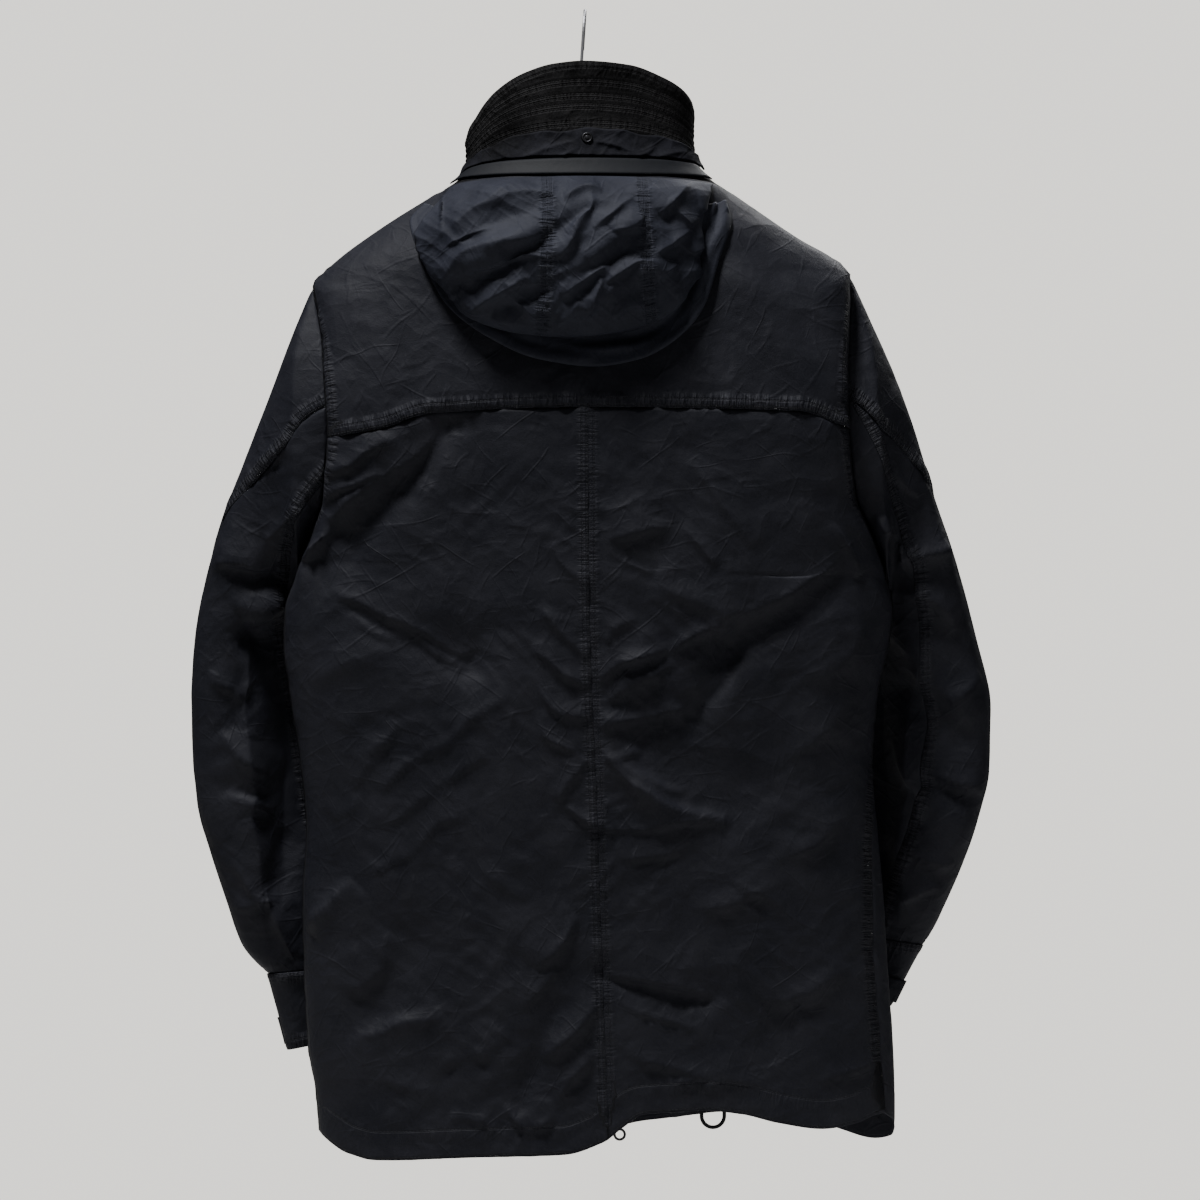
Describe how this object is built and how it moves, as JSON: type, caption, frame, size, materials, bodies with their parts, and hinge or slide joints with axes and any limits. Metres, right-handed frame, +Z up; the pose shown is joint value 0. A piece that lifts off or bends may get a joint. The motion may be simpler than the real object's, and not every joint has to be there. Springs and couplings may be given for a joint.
{
  "type": "parka on a hanger",
  "caption": "Zip-front field parka with a stand collar and soft hood, hanging by its neck from a coat hanger with a wire hook.",
  "frame": {"origin": "the inside of the hook's crown, where the rail carries it", "axes": "+Z up, -Y the way the back of the coat faces, +X towards its right sleeve"},
  "size_m": [0.6675, 0.2066, 0.9513],
  "materials": {
    "shell_cloth": "garment-dyed navy-black cotton and nylon cloth, matt with a faint sheen on its creases",
    "faded_cloth": "the same cloth worn paler and mottled at the collar",
    "thin_cloth": "thin bluish nylon, crumpled",
    "sealing_tape": "satin grey rubber-like tape",
    "zip_tape": "woven zip tape",
    "dark_metal": "dark burnished metal",
    "drawcord": "braided round cord",
    "hook_wire": "bright bent wire",
    "hanger_wood": "plain varnished wood"
  },
  "bodies": {
    "parka": {"back_left": "shell_cloth", "back_right": "shell_cloth", "back_yoke": "shell_cloth", "collar_band": "faded_cloth", "collar_flap": "thin_cloth", "flap_snap": "dark_metal", "front_left": "shell_cloth", "front_right": "shell_cloth", "hanger_arms": "hanger_wood", "hanger_hook": "hook_wire", "hem_cord": "drawcord", "hood_brim": "thin_cloth", "hood_centre": "thin_cloth", "hood_left": "thin_cloth", "hood_right": "thin_cloth", "left_cuff": "shell_cloth", "left_cuff_tab": "shell_cloth", "left_sleeve_cap": "shell_cloth", "left_sleeve_top": "shell_cloth", "left_sleeve_under": "shell_cloth", "neck_tape": "sealing_tape", "right_cuff": "shell_cloth", "right_cuff_tab": "shell_cloth", "right_sleeve_cap": "shell_cloth", "right_sleeve_top": "shell_cloth", "right_sleeve_under": "shell_cloth", "zip_chain": "dark_metal", "zip_slider_lower": "dark_metal", "zip_slider_upper": "dark_metal", "zip_tape_left": "zip_tape", "zip_tape_right": "zip_tape"},
    "pull_lower": {"zip_pull_lower": "dark_metal"},
    "pull_upper": {"zip_pull_upper": "dark_metal"}
  },
  "joints": [
    {"name": "lower_pull_hinge", "type": "hinge", "parent": "parka", "child": "pull_lower", "pos_m": [0.02898, 0.06143, -0.918], "axis": [1, 0, 0], "range_deg": [0, 165]},
    {"name": "upper_pull_hinge", "type": "hinge", "parent": "parka", "child": "pull_upper", "pos_m": [-0.00158, 0.06349, -0.15], "axis": [1, 0, 0], "range_deg": [0, 165]}
  ]
}
